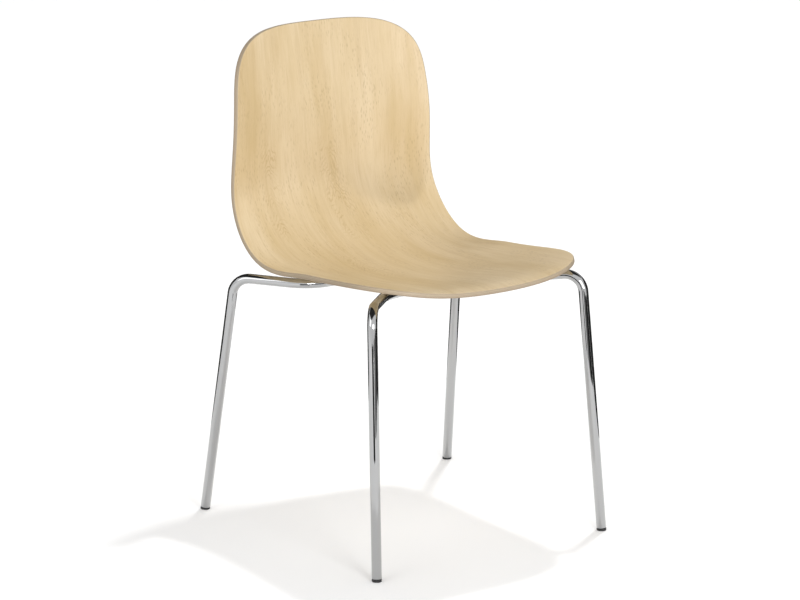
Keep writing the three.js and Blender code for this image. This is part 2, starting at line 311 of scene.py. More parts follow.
class Nodes:
    """A material's node tree, with short ways to add what the finishes use."""

    def __init__(self, name):
        self.material = bpy.data.materials.new(name)
        self.material.use_nodes = True
        self.tree = self.material.node_tree
        self.shader = self.tree.nodes["Principled BSDF"]

    def add(self, kind, **settings):
        node = self.tree.nodes.new(kind)
        for key, value in settings.items():
            setattr(node, key, value)
        return node

    def put(self, socket, value):
        """Links an output to a socket, or sets the socket's own value."""
        if isinstance(value, bpy.types.NodeSocket):
            self.tree.links.new(value, socket)
        else:
            socket.default_value = value

    def uv(self, layer):
        return self.add("ShaderNodeUVMap", uv_map=layer).outputs["UV"]

    def place(self):
        return self.add("ShaderNodeTexCoord").outputs["Object"]

    def stretched(self, vector, scale):
        node = self.add("ShaderNodeMapping")
        self.put(node.inputs["Vector"], vector)
        node.inputs["Scale"].default_value = scale
        return node.outputs["Vector"]

    def shifted(self, vector, offset):
        node = self.add("ShaderNodeMapping")
        self.put(node.inputs["Vector"], vector)
        node.inputs["Location"].default_value = offset
        return node.outputs["Vector"]

    def noise(self, vector, scale=1.0, detail=2.0, roughness=0.5, distortion=0.0):
        node = self.add("ShaderNodeTexNoise")
        self.put(node.inputs["Vector"], vector)
        node.inputs["Scale"].default_value = scale
        node.inputs["Detail"].default_value = detail
        node.inputs["Roughness"].default_value = roughness
        node.inputs["Distortion"].default_value = distortion
        return node.outputs["Fac"]

    def cells(self, vector):
        """Distance to the nearest of scattered points, one to a unit."""
        node = self.add("ShaderNodeTexVoronoi")
        self.put(node.inputs["Vector"], vector)
        node.inputs["Scale"].default_value = 1.0
        return node.outputs["Distance"]

    def math(self, operation, a, b=0.0, c=0.0):
        node = self.add("ShaderNodeMath", operation=operation)
        for socket, value in zip(node.inputs, (a, b, c)):
            self.put(socket, value)
        return node.outputs[0]

    def remap(self, value, low, high, to_low=0.0, to_high=1.0, smoothly=False):
        node = self.add("ShaderNodeMapRange", clamp=True)
        if smoothly:
            node.interpolation_type = "SMOOTHSTEP"
        self.put(node.inputs["Value"], value)
        node.inputs["From Min"].default_value = low
        node.inputs["From Max"].default_value = high
        node.inputs["To Min"].default_value = to_low
        node.inputs["To Max"].default_value = to_high
        return node.outputs["Result"]

    def blend(self, share, a, b):
        node = self.add("ShaderNodeMix", data_type="RGBA")
        self.put(node.inputs["Factor"], share)
        first, second = [socket for socket in node.inputs if socket.type == "RGBA"]
        self.put(first, a)
        self.put(second, b)
        return next(socket for socket in node.outputs if socket.type == "RGBA")

    def split(self, vector):
        node = self.add("ShaderNodeSeparateXYZ")
        self.put(node.inputs[0], vector)
        return node.outputs

    def join(self, x, y, z=0.0):
        node = self.add("ShaderNodeCombineXYZ")
        for socket, value in zip(node.inputs, (x, y, z)):
            self.put(socket, value)
        return node.outputs[0]

    def bump(self, height, strength, distance):
        """Relief on the shader's normal."""
        node = self.add("ShaderNodeBump")
        node.inputs["Strength"].default_value = strength
        node.inputs["Distance"].default_value = distance
        self.put(node.inputs["Height"], height)
        self.put(self.shader.inputs["Normal"], node.outputs["Normal"])

    def set(self, **values):
        """Sets the shader's sockets by name, with _ for a space."""
        for key, value in values.items():
            self.put(self.shader.inputs[key.replace("_", " ")], value)


def colour(red, green, blue):
    return (red, green, blue, 1.0)


# ------------------------------------------------------------------ finishes

VENEER_LIGHT = colour(0.680, 0.543, 0.345)
VENEER_MIDDLE = colour(0.575, 0.430, 0.226)
VENEER_DARK = colour(0.470, 0.325, 0.155)
VENEER_FLECK = colour(0.300, 0.190, 0.085)

# Repeats per metre across the grain and along it.
WANDER_SCALE = (5, 2.2, 1)
TONE_SCALE = (14, 2.6, 1)
STREAK_SCALE = (110, 4.5, 1)
LINE_SCALE = (700, 22, 1)
WARP_SCALE = (60, 22, 1)
CLUMP_SCALE = (40, 24, 1)
FLECK_SCALE = (430, 85, 1)
CLUSTER_SCALE = (22, 9, 1)
# Shifts that keep clumps and clusters apart from the other layers.
CLUMP_SHIFT = (3.1, 1.7, 0)
CLUSTER_SHIFT = (0.4, 5.3, 0)

# Sideways wander of the grain, and how strongly each layer of it shows.
GRAIN_WANDER = 0.035
STREAK_SHARE = 0.34
LINE_SHARE = 0.42
FLECK_SHARE = 0.42

# Centre lines of the cathedral figure: (across, start along, end along, half width).
FIGURES = [(-0.118, 0.45, 0.60, 0.024), (0.010, 0.43, 0.56, 0.034), (-0.045, 0.24, 0.36, 0.036)]
FIGURE_PITCH = 0.011
FIGURE_FADE = 0.05
FIGURE_SLANT = 1.5
FIGURE_WARP = 0.060
FIGURE_SHARE = 0.60


def veneer_finish():
    """Flat-cut birch under a satin lacquer. The grain runs along the shell."""
    n = Nodes("birch_veneer")
    flat = n.uv("surface")
    wander = n.noise(n.stretched(flat, WANDER_SCALE), detail=2)
    across, along, _ = n.split(flat)
    bent = n.math("MULTIPLY_ADD", n.math("SUBTRACT", wander, 0.5), GRAIN_WANDER, across)
    grain = n.join(bent, along)

    # Broad tone, quiet streaks, fine growth lines.
    tone = n.noise(n.stretched(grain, TONE_SCALE), detail=4, roughness=0.6)
    streaks = n.noise(n.stretched(grain, STREAK_SCALE), detail=4, roughness=0.65)
    lines = n.noise(n.stretched(grain, LINE_SCALE), detail=4, roughness=0.65)
    base = n.blend(n.remap(tone, 0.34, 0.66), VENEER_LIGHT, VENEER_MIDDLE)
    base = n.blend(n.remap(streaks, 0.46, 0.78, 0.0, STREAK_SHARE), base, VENEER_DARK)
    base = n.blend(n.remap(lines, 0.50, 0.74, 0.0, LINE_SHARE), base, VENEER_DARK)

    # Cathedral figure: growth rings cut at a slant show as small nested arches on a few centre lines.
    warp = n.noise(n.stretched(grain, WARP_SCALE), detail=4, roughness=0.6)
    clumps = n.noise(n.stretched(n.shifted(grain, CLUMP_SHIFT), CLUMP_SCALE), detail=2)
    patches = n.remap(clumps, 0.40, 0.60)
    for centre, start, end, reach in FIGURES:
        aside = n.math("ABSOLUTE", n.math("SUBTRACT", bent, centre))
        uneven = n.math("MULTIPLY_ADD", warp, FIGURE_WARP, along)
        climb = n.math("MULTIPLY_ADD", aside, FIGURE_SLANT, uneven)
        rings = n.math("SINE", n.math("MULTIPLY", climb, 2 * math.pi / FIGURE_PITCH))
        inside = n.remap(aside, reach * 0.35, reach, 1.0, 0.0, smoothly=True)
        rises = n.remap(along, start - FIGURE_FADE, start, smoothly=True)
        falls = n.remap(along, end, end + FIGURE_FADE, 1.0, 0.0, smoothly=True)
        where = n.math("MULTIPLY", inside, n.math("MULTIPLY", rises, falls))
        figure = n.math("MULTIPLY", n.remap(rings, 0.1, 0.9), n.math("MULTIPLY", where, patches))
        base = n.blend(n.math("MULTIPLY", figure, FIGURE_SHARE), base, VENEER_DARK)

    # Short dark flecks, everywhere a few and clusters of them.
    fleck = n.remap(n.cells(n.stretched(grain, FLECK_SCALE)), 0.14, 0.36, 1.0, 0.0)
    cluster = n.noise(n.stretched(n.shifted(grain, CLUSTER_SHIFT), CLUSTER_SCALE), detail=3)
    few = n.math("MULTIPLY", fleck, n.remap(cluster, 0.44, 0.62, 0.12, 1.0))
    base = n.blend(n.math("MULTIPLY", few, FLECK_SHARE), base, VENEER_FLECK)

    n.set(Base_Color=base, Roughness=n.remap(streaks, 0.3, 0.8, 0.40, 0.50))
    n.set(Coat_Weight=0.22, Coat_Roughness=0.42, Specular_IOR_Level=0.45)
    relief = n.math("ADD", n.math("MULTIPLY", lines, 0.6), n.math("MULTIPLY", few, -0.5))
    n.bump(relief, strength=0.12, distance=0.0002)
    return n.material


PLY_COUNT = 7
PLY_LIGHT = colour(0.400, 0.320, 0.218)
PLY_DARK = colour(0.325, 0.256, 0.178)
# The darkest edge colour: glue lines, pores, and the painted shade towards the underside.
PLY_GLUE_AND_SHADE = colour(0.150, 0.098, 0.060)
PLY_DRIFT = 0.0003
# Repeats per metre around the edge and through the sheet.
DRIFT_SCALE = (14, 1, 1)
PORE_SCALE = (900, 2600, 1)
FIBRE_SCALE = (60, 2500, 1)
GLUE_SHARE = 0.35
# How strongly painted shade darkens the edge towards the underside, where its rounding faces down.
PAINTED_LOWER_SHADE_SHARE = 0.42


def ply_edge_finish():
    """The sanded and lacquered edge: plies of long grain and end grain with thin glue lines, and painted
    shade that darkens it towards the underside.
    """
    n = Nodes("plywood_edge")
    _, depth, _ = n.split(n.uv("edge"))
    drift = n.noise(n.stretched(n.uv("edge"), DRIFT_SCALE), detail=2)
    level = n.math("MULTIPLY_ADD", drift, PLY_DRIFT, depth)
    ply = n.math("MULTIPLY", level, PLY_COUNT / SHELL_THICKNESS)
    parity = n.math("PINGPONG", n.math("FLOOR", ply), 1.0)
    into = n.math("FRACT", ply)
    glue = n.remap(n.math("ABSOLUTE", n.math("SUBTRACT", into, 0.5)), 0.43, 0.5)
    speck = n.noise(n.stretched(n.uv("edge"), PORE_SCALE), detail=2)
    fibre = n.noise(n.stretched(n.uv("edge"), FIBRE_SCALE), detail=3)
    tone = n.blend(parity, PLY_LIGHT, PLY_DARK)
    tone = n.blend(n.remap(fibre, 0.45, 0.75, 0.0, 0.35), tone, PLY_DARK)
    pores = n.math("MULTIPLY", n.remap(speck, 0.55, 0.75), n.math("MULTIPLY", parity, 0.5))
    tone = n.blend(pores, tone, PLY_GLUE_AND_SHADE)
    tone = n.blend(n.math("MULTIPLY", glue, GLUE_SHARE), tone, PLY_GLUE_AND_SHADE)
    # Painted shade: the edge blends towards the darkest colour with depth, darkest at the underside where
    # the rounding faces down.
    lower = n.remap(depth, 0.4 * SHELL_THICKNESS, SHELL_THICKNESS, 0.0, PAINTED_LOWER_SHADE_SHARE)
    tone = n.blend(lower, tone, PLY_GLUE_AND_SHADE)
    n.set(Base_Color=tone, Roughness=n.remap(speck, 0.3, 0.7, 0.45, 0.62))
    n.set(Coat_Weight=0.1, Coat_Roughness=0.35)
    relief = n.math("ADD", speck, n.math("MULTIPLY", glue, -0.6))
    n.bump(relief, strength=0.15, distance=0.00015)
    return n.material


CHROME_COLOUR = colour(0.455, 0.458, 0.462)
CHROME_HAZE = colour(0.400, 0.403, 0.408)
# Repeats per metre around the tube and along it.
POLISH_SCALE = (40, 2600, 1)
HAZE_SCALE = (30, 12, 1)
SCRATCH_SCALE = (2600, 30, 1)
WAVE_SCALE = (60, 25, 1)


def chrome_finish():
    """Bright chrome over polished tube: faint waviness, polishing lines and a few hairline scratches."""
    n = Nodes("chrome_plating")
    flat = n.uv("surface")
    polish = n.noise(n.stretched(flat, POLISH_SCALE), detail=3, roughness=0.6)
    haze = n.noise(n.stretched(flat, HAZE_SCALE), detail=3)
    scratches = n.noise(n.stretched(flat, SCRATCH_SCALE), detail=2)
    waves = n.noise(n.stretched(flat, WAVE_SCALE), detail=1)
    tint = n.blend(n.remap(haze, 0.35, 0.75, 0.0, 0.25), CHROME_COLOUR, CHROME_HAZE)
    dull = n.remap(haze, 0.3, 0.75, 0.045, 0.10)
    rough = n.math("ADD", dull, n.remap(scratches, 0.62, 0.80, 0.0, 0.10))
    n.set(Base_Color=tint, Metallic=1.0, Roughness=rough)
    relief = n.math("ADD", waves, n.math("MULTIPLY", polish, 0.03))
    n.bump(relief, strength=0.10, distance=0.0004)
    return n.material


BLOTCH_SHADE = 0.62


def metal_finish(name, base, rough, scale):
    """Rolled or machined metal: directional lines, blotches and dulled spots."""
    n = Nodes(name)
    spot = n.place()
    lines = n.noise(n.stretched(spot, (scale * 12, scale, scale)), detail=3, roughness=0.6)
    blotch = n.noise(n.stretched(spot, (scale * 0.4,) * 3), detail=4)
    darker = colour(*(BLOTCH_SHADE * c for c in base[:3]))
    tint = n.blend(n.remap(blotch, 0.40, 0.72, 0.0, 0.55), base, darker)
    n.set(Base_Color=tint, Metallic=1.0)
    n.set(Roughness=n.remap(lines, 0.3, 0.7, rough - 0.07, rough + 0.10))
    relief = n.math("ADD", lines, n.math("MULTIPLY", blotch, 0.6))
    n.bump(relief, strength=0.12, distance=0.0001)
    return n.material


DUST_GAIN = 2.2
DUST_LIFT = 0.02
FLOW_SCALE = (90, 90, 220)


def moulded_finish(name, base, rough, texture):
    """Moulded plastic: fine spark-eroded grain, flow marks and a little dust."""
    n = Nodes(name)
    spot = n.place()
    grain = n.noise(spot, scale=texture, detail=3, roughness=0.65)
    flow = n.noise(n.stretched(spot, FLOW_SCALE), detail=3, distortion=0.6)
    dusty = colour(*(c * DUST_GAIN + DUST_LIFT for c in base[:3]))
    tint = n.blend(n.remap(flow, 0.45, 0.80, 0.0, 0.5), base, dusty)
    tint = n.blend(n.remap(grain, 0.58, 0.80, 0.0, 0.35), tint, dusty)
    n.set(Base_Color=tint)
    n.set(Roughness=n.remap(grain, 0.3, 0.7, rough - 0.08, rough + 0.10))
    n.bump(grain, strength=0.25, distance=0.00015)
    return n.material


veneer = veneer_finish()
ply_edge = ply_edge_finish()
chrome = chrome_finish()
plate_steel = metal_finish("plate_steel_finish", colour(0.46, 0.47, 0.49), rough=0.33, scale=260)
zinc = metal_finish("zinc_plating", colour(0.58, 0.60, 0.62), rough=0.36, scale=900)
plastic = moulded_finish("moulded_plastic", colour(0.012, 0.012, 0.013), rough=0.52, texture=2600)

# ------------------------------------------------------------------ plywood shell

OUTLINE_POINTS = 560
EDGE_ROUNDING = 0.0016
EDGE_ARC_STEPS = 5
EDGE_FLAT_STEPS = 3
FACE_LOOPS = 44
# The loops of each face shrink onto the centre line between these distances along it.
SPINE = (0.19, 0.66)


def edge_profile():
    """The edge from the sitter's face to the underside, as (inset, depth) points."""
    points = []
    for step in range(EDGE_ARC_STEPS + 1):
        turn = math.pi / 2 * step / EDGE_ARC_STEPS
        points.append((EDGE_ROUNDING * (1 - math.sin(turn)), EDGE_ROUNDING * (1 - math.cos(turn))))
    for step in range(1, EDGE_FLAT_STEPS):
        share = step / EDGE_FLAT_STEPS
        points.append((0.0, EDGE_ROUNDING + share * (SHELL_THICKNESS - 2 * EDGE_ROUNDING)))
    points += [(inset, SHELL_THICKNESS - depth) for inset, depth in points[: EDGE_ARC_STEPS + 1][::-1]]
    return points


def build_shell():
    """The moulded plywood: closing loops of the sitter's face, the edge, then the underside."""
    outline, around = shell_outline(OUTLINE_POINTS)
    ahead = np.roll(outline, -1, axis=0) - np.roll(outline, 1, axis=0)
    ahead /= np.linalg.norm(ahead, axis=1)[:, None]
    inward = np.stack([-ahead[:, 1], ahead[:, 0]], -1)
    profile = edge_profile()
    spine = np.stack([np.zeros(OUTLINE_POINTS), np.clip(outline[:, 1], *SPINE)], -1)
    shares = np.linspace(0, 1, FACE_LOOPS + 1)

    flats = []
    depths = []
    start = outline + inward * EDGE_ROUNDING
    for share in shares[::-1][:-1]:
        flats.append(start + (spine - start) * share)
        depths.append(0.0)
    for inset, depth in profile:
        flats.append(outline + inward * inset)
        depths.append(depth)
    for share in shares[1:]:
        flats.append(start + (spine - start) * share)
        depths.append(SHELL_THICKNESS)
    flat = np.concatenate(flats)
    depth = np.repeat(depths, OUTLINE_POINTS)
    vertices = shell_points(flat[:, 0], flat[:, 1], depth)
    faces = ring_faces(len(flats), OUTLINE_POINTS)
    first_edge = FACE_LOOPS
    last_edge = FACE_LOOPS + len(profile) - 1
    ring_of_face = np.repeat(np.arange(len(flats) - 1), OUTLINE_POINTS)
    is_edge = ((ring_of_face >= first_edge + 1) & (ring_of_face < last_edge - 1)).astype(int)
    edge_uv = np.column_stack([np.tile(around, len(flats)), depth])
    shell = add_mesh(
        "veneered_shell", vertices, faces, [veneer, ply_edge], is_edge,
        {"surface": flat, "edge": edge_uv},
    )
    weld_points(shell)
    return stand_for(shell, "seat_shell")


# ------------------------------------------------------------------ bent tubes

TUBE_SIDES = 48
ARC_STEPS = 30
TUBE_END_ROUNDING = 0.0004
TUBE_SHARP_ANGLE = 50


def bent_path(corners, radii):
    """Stations (point, direction) along straight stretches joined by arcs."""
    corners = [Vector(c) for c in corners]
    stations = [(corners[0], (corners[1] - corners[0]).normalized())]
    for i, radius in enumerate(radii, 1):
        before = (corners[i] - corners[i - 1]).normalized()
        after = (corners[i + 1] - corners[i]).normalized()
        angle = before.angle(after)
        start = corners[i] - before * radius * math.tan(angle / 2)
        inward = (after - before * before.dot(after)).normalized()
        steps = math.ceil(ARC_STEPS * angle / (math.pi / 2))
        for step in range(steps + 1):
            turn = angle * step / steps
            point = start + before * radius * math.sin(turn) + inward * radius * (1 - math.cos(turn))
            stations.append((point, before * math.cos(turn) + inward * math.sin(turn)))
    stations.append((corners[-1], (corners[-1] - corners[-2]).normalized()))
    return stations


def leg_axis(tube, sign=1):
    """Direction of a leg, up from its foot; sign is -1 for the left leg."""
    foot, shoulder = tube["foot"], tube["shoulder"]
    return Vector((sign * (shoulder[0] - foot[0]), shoulder[1] - foot[1], shoulder[2])).normalized()


def tube_path(tube):
    """Centre line of one tube, from the right foot over the cross bar to the left foot."""
    foot = Vector((*tube["foot"], 0)) + leg_axis(tube) * (GLIDE_SOLE + GAP)
    half = [foot, Vector(tube["shoulder"]), Vector(tube["bar"])]
    mirrored = [Vector((-p.x, p.y, p.z)) for p in half][::-1]
    radii = [LEG_BEND_RADIUS, tube["bar_radius"], tube["bar_radius"], LEG_BEND_RADIUS]
    return bent_path(half + mirrored, radii)


def swept(name, stations, section, material):
    """Rings along a path. section gives (station, radius, shift along) for each ring."""
    angles = np.linspace(0, 2 * math.pi, TUBE_SIDES, endpoint=False)
    side = stations[0][1].orthogonal().normalized()
    sides = []
    for _, direction in stations:
        side = (side - direction * side.dot(direction)).normalized()
        sides.append(side)
    lengths = [0.0]
    for (before, _), (after, _) in zip(stations, stations[1:]):
        lengths.append(lengths[-1] + (after - before).length)
    vertices = []
    uv = []
    for station, radius, shift in section:
        point, direction = stations[station]
        other = direction.cross(sides[station])
        for angle in angles:
            offset = sides[station] * math.cos(angle) + other * math.sin(angle)
            vertices.append(point + direction * shift + offset * radius)
            uv.append((angle * TUBE_RADIUS, lengths[station] + shift))
    faces = ring_faces(len(section), TUBE_SIDES, closed=True)
    return add_mesh(name, vertices, faces, [material], uv_layers={"surface": uv})


def build_tube(end):
    """One tube with its bore: up the outside, round the cut end and back down the inside."""
    stations = tube_path(TUBES[end])
    last = len(stations) - 1
    cut = TUBE_END_ROUNDING
    outer = [(i, TUBE_RADIUS, 0) for i in range(1, last)]
    inner = [(i, TUBE_BORE, 0) for i in range(last - 1, 0, -1)]
    section = [(0, TUBE_BORE + cut, 0), (0, TUBE_RADIUS - cut, 0), (0, TUBE_RADIUS, cut)]
    section += outer
    section += [(last, TUBE_RADIUS, -cut), (last, TUBE_RADIUS - cut, 0), (last, TUBE_BORE + cut, 0)]
    section += [(last, TUBE_BORE, -cut)]
    section += inner
    section += [(0, TUBE_BORE, cut)]
    tube = swept(f"chromed_tube_{end}", stations, section, chrome)
    weld_points(tube)
    sharpen(tube, TUBE_SHARP_ANGLE)
    return stand_for(tube, f"{end}_leg_tube")


# ------------------------------------------------------------------ foot glides

GLIDE_SIDES = 48
GLIDE_CUT = 0.0004
GLIDE_SHARP_ANGLE = 40
# The sole's lower rim: (radius lost, height above the floor).
GLIDE_RIM = [
    (0.0080, 0.0), (0.0040, 0.0), (0.0011, 0.0), (0.0006, 0.0001), (0.0002, 0.0004), (0.0, 0.0009),
]


def build_glide(end, side):
    """A sole that is flat on the floor, and a ribbed plug up the leg's bore."""
    tube = TUBES[end]
    axis = leg_axis(tube, SIDES[side])
    foot = Vector((SIDES[side] * tube["foot"][0], tube["foot"][1], 0))
    first = axis.orthogonal().normalized()
    second = axis.cross(first)
    angles = np.linspace(0, 2 * math.pi, GLIDE_SIDES, endpoint=False)
    profile = [(TUBE_RADIUS, GLIDE_SOLE - GLIDE_CUT), (TUBE_RADIUS - GLIDE_CUT, GLIDE_SOLE)]
    profile += [(GLIDE_CORE, GLIDE_SOLE)]
    pitch = GLIDE_PLUG / (GLIDE_RIBS + 1)
    for rib in range(1, GLIDE_RIBS + 1):
        top = GLIDE_SOLE + rib * pitch
        profile += [(GLIDE_CORE, top - GLIDE_RIB_HEIGHT), (GLIDE_RIB, top - GLIDE_RIB_HEIGHT / 2)]
        profile += [(GLIDE_RIB, top), (GLIDE_CORE, top)]
    profile += [(GLIDE_CORE, GLIDE_SOLE + GLIDE_PLUG - GLIDE_TIP)]
    profile += [(GLIDE_CORE - GLIDE_TIP, GLIDE_SOLE + GLIDE_PLUG)]
    profile += [(POINT_RADIUS, GLIDE_SOLE + GLIDE_PLUG)]

    def around(radius):
        return [(first * math.cos(angle) + second * math.sin(angle)) * radius for angle in angles]

    vertices = []
    for lost, height in GLIDE_RIM:
        for offset in around(max(TUBE_RADIUS - lost, POINT_RADIUS)):
            vertices.append(foot + offset + axis * ((height - offset.z) / axis.z))
    for radius, along in profile:
        for offset in around(radius):
            vertices.append(foot + offset + axis * along)
    faces = ring_faces(len(GLIDE_RIM) + len(profile), GLIDE_SIDES)
    glide = add_mesh(f"glide_{end}_{side}", vertices, faces, [plastic])
    weld_points(glide)
    sharpen(glide, GLIDE_SHARP_ANGLE)
    return stand_for(glide, f"foot_glide_{end}_{side}")


# ------------------------------------------------------------------ plate and welds

PLATE_BEVEL = 0.0004
PLATE_OUTLINE_POINTS = 160
PLATE_CORNER_STEPS = 24
PLATE_SHARP_ANGLE = 30
BOLT_HOLE_POINTS = 40
CENTRE_HOLE_POINTS = 72

WELD_SEED = 4
WELD_PHASE_SPAN = 6.28
WELD_RADIUS = 0.0019
WELD_RIPPLE = 0.00022
WELD_WOBBLE = 0.00006
WELD_PITCH = 0.0021
WELD_STEPS_PER_PITCH = 6
WELD_TAPER = 0.002
WELD_TIP = 0.05
WELD_INSET = 0.0004
WELD_SINK = 0.0006
WELD_LENGTH = {"front": 0.056, "rear": 0.076}
WELD_SIDES = 14


def rounded_outline(width, depth, radius, count):
    """Points around a rectangle with rounded corners, at even distances."""
    loop = []
    corners = [(1, 1, 0), (-1, 1, 1), (-1, -1, 2), (1, -1, 3)]
    for sx, sy, quarter in corners:
        for step in range(PLATE_CORNER_STEPS + 1):
            turn = (quarter + step / PLATE_CORNER_STEPS) * math.pi / 2
            x = sx * (width / 2 - radius) + radius * math.cos(turn)
            y = sy * (depth / 2 - radius) + radius * math.sin(turn)
            loop.append((x, y))
    points, _ = even_points(np.array(loop + loop[:1]), count)
    return points


def curve_loop(curve, points):
    """Adds a closed loop of (x, y) points to a flat curve."""
    spline = curve.splines.new("POLY")
    spline.points.add(len(points) - 1)
    for target, (x, y) in zip(spline.points, points):
        target.co = (x, y, 0, 1)
    spline.use_cyclic_u = True


def circle_points(x, y, radius, count):
    angles = np.linspace(0, 2 * math.pi, count, endpoint=False)
    return [(x + radius * math.cos(a), y + radius * math.sin(a)) for a in angles]


def build_plate():
    """The plate between the cross bars, with bevelled edges, four bolt holes and a centre hole."""
    depth = BAR_DEPTH - 2 * (TUBE_RADIUS + GAP)
    curve = bpy.data.curves.new("plate_outline", "CURVE")
    curve.dimensions = "2D"
    curve.fill_mode = "BOTH"
    curve.extrude = PLATE_THICKNESS / 2 - PLATE_BEVEL
    curve.bevel_depth = PLATE_BEVEL
    curve.bevel_resolution = 2
    curve.offset = -PLATE_BEVEL
    curve_loop(curve, rounded_outline(PLATE_WIDTH, depth, PLATE_CORNER, PLATE_OUTLINE_POINTS))
    for x in (-BOLT_X, BOLT_X):
        for y in (-BOLT_Y, BOLT_Y):
            curve_loop(curve, circle_points(x, y, PLATE_BOLT_HOLE, BOLT_HOLE_POINTS))
    curve_loop(curve, circle_points(0, 0, PLATE_CENTRE_HOLE, CENTRE_HOLE_POINTS))
    drawn = add_object("plate_curve", curve)
    bpy.context.view_layer.update()
    filled = drawn.evaluated_get(bpy.context.evaluated_depsgraph_get())
    mesh = bpy.data.meshes.new_from_object(filled)
    bpy.data.objects.remove(drawn)
    mesh.name = "steel_plate"
    mesh.materials.clear()
    mesh.materials.append(plate_steel)
    for vertex in mesh.vertices:
        vertex.co += Vector((0, BAR_MIDDLE_Y, PLATE_Z))
    plate = add_object("steel_plate", mesh)
    weld_points(plate)
    sharpen(plate, PLATE_SHARP_ANGLE)
    return stand_for(plate, "mounting_plate")


def build_welds():
    """Rippled beads where the plate's long edges meet the cross bars."""
    rng = random.Random(WELD_SEED)
    vertices = []
    faces = []
    for end, inward in (("front", 1), ("rear", -1)):
        length = WELD_LENGTH[end]
        steps = round(length / WELD_PITCH * WELD_STEPS_PER_PITCH)
        edge_y = TUBES[end]["bar"][1] + inward * (TUBE_RADIUS + GAP)
        for level in (-1, 1):
            z = PLATE_Z + level * PLATE_THICKNESS / 2
            start = len(vertices)
            phase = rng.uniform(0, WELD_PHASE_SPAN)
            for step in range(steps + 1):
                x = -length / 2 + length * step / steps
                taper = min(1.0, (length / 2 - abs(x)) / WELD_TAPER + WELD_TIP)
                ripple = WELD_RIPPLE * math.sin(2 * math.pi * x / WELD_PITCH + phase)
                wobble = rng.uniform(-1, 1) * WELD_WOBBLE
                radius = (WELD_RADIUS + ripple + wobble) * taper ** 0.5
                for i in range(WELD_SIDES):
                    turn = 2 * math.pi * i / WELD_SIDES
                    y = edge_y - inward * WELD_INSET + radius * math.cos(turn)
                    vertices.append((x, y, z - level * WELD_SINK + radius * math.sin(turn)))
            for ring in range(steps):
                for i in range(WELD_SIDES):
                    j = (i + 1) % WELD_SIDES
                    low = start + ring * WELD_SIDES
                    faces.append((low + i, low + j, low + WELD_SIDES + j, low + WELD_SIDES + i))
            faces.append(tuple(start + i for i in range(WELD_SIDES)))
            faces.append(tuple(start + steps * WELD_SIDES + i for i in range(WELD_SIDES)))
    welds = add_mesh("plate_welds", vertices, faces, [plate_steel])
    weld_points(welds)
    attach(welds, "root")
    return welds


# ------------------------------------------------------------------ seat fixings

FIXING_SIDES = 48
FIXING_SHARP_ANGLE = 35
WASHER_CUT = 0.00025
INSERT_CUT = 0.0002
SPACER_CUT = 0.0008
SPACER_GROOVE_DEPTH = 0.0006
SPACER_GROOVE_MOUTH = 0.0010
SPACER_GROOVE_FLOOR = 0.0005
SCREW_FLAT_SHARE = 0.58
SCREW_CROWN_STEPS = 8
SCREW_RIM = 0.0005
SCREW_TIP = 0.001
SOCKET_HALF_SIDE = math.pi / 6
SOCKET_CENTRE = 0.01
SOCKET_MOUTH = 1.08
SOCKET_CHAMFER = 0.0002
SOCKET_POINT = 0.0003


def ring_profile(outer, inner, bottom, top, cut):
    """Closed section of a ring with its four corners cut."""
    return [
        (inner, bottom + cut), (inner + cut, bottom), (outer - cut, bottom), (outer, bottom + cut),
        (outer, top - cut), (outer - cut, top), (inner + cut, top), (inner, top - cut),
    ]


def build_spacer(name, x, y):
    """A grooved spacer whose top follows the shell's underside."""
    bottom = PLATE_Z + PLATE_THICKNESS / 2 + GAP
    cut = SPACER_CUT
    middle = float(underside_height(x, y)) - GAP
    groove = bottom + (middle - bottom) / 2
    groove_radius = SPACER_RADIUS - SPACER_GROOVE_DEPTH
    lower = [
        (SPACER_HOLE, bottom), (SPACER_RADIUS - cut, bottom), (SPACER_RADIUS, bottom + cut),
        (SPACER_RADIUS, groove - SPACER_GROOVE_MOUTH), (groove_radius, groove - SPACER_GROOVE_FLOOR),
        (groove_radius, groove + SPACER_GROOVE_FLOOR), (SPACER_RADIUS, groove + SPACER_GROOVE_MOUTH),
    ]
    upper = [(SPACER_RADIUS, middle - cut), (SPACER_RADIUS - cut, middle), (SPACER_HOLE, middle)]
    profile = lower + upper

    def follow(index, flat, heights):
        if index < len(lower):
            return heights
        lost = cut if index == len(lower) else 0.0
        return underside_height(x + flat[:, 0], y + flat[:, 1]) - GAP - lost

    spacer = turned(f"spacer_{name}", profile, FIXING_SIDES, plastic, (x, y, 0), shape=follow)
    sharpen(spacer, FIXING_SHARP_ANGLE)
    return stand_for(spacer, f"seat_spacer_{name}")


def build_washer(name, x, y):
    top = PLATE_Z - PLATE_THICKNESS / 2 - GAP
    profile = ring_profile(WASHER_RADIUS, WASHER_HOLE, top - WASHER_THICKNESS, top, WASHER_CUT)
    washer = turned(f"washer_{name}", profile, FIXING_SIDES, zinc, (x, y, 0))
    sharpen(washer, FIXING_SHARP_ANGLE)
    return stand_for(washer, f"screw_washer_{name}")


def build_insert(name, x, y):
    """A flanged threaded insert, let into the shell's underside."""
    bottom = float(underside_height(x, y)) + INSERT_RECESS
    shoulder = bottom + INSERT_FLANGE_HEIGHT
    cut = INSERT_CUT
    profile = [
        (INSERT_HOLE, bottom), (INSERT_FLANGE_RADIUS - cut, bottom), (INSERT_FLANGE_RADIUS, bottom + cut),
        (INSERT_FLANGE_RADIUS, shoulder - cut), (INSERT_FLANGE_RADIUS - cut, shoulder),
        (INSERT_RADIUS, shoulder), (INSERT_RADIUS, INSERT_TOP), (INSERT_HOLE, INSERT_TOP),
    ]
    insert = turned(f"insert_{name}", profile, FIXING_SIDES, zinc, (x, y, 0))
    sharpen(insert, FIXING_SHARP_ANGLE)
    return stand_for(insert, f"threaded_insert_{name}")


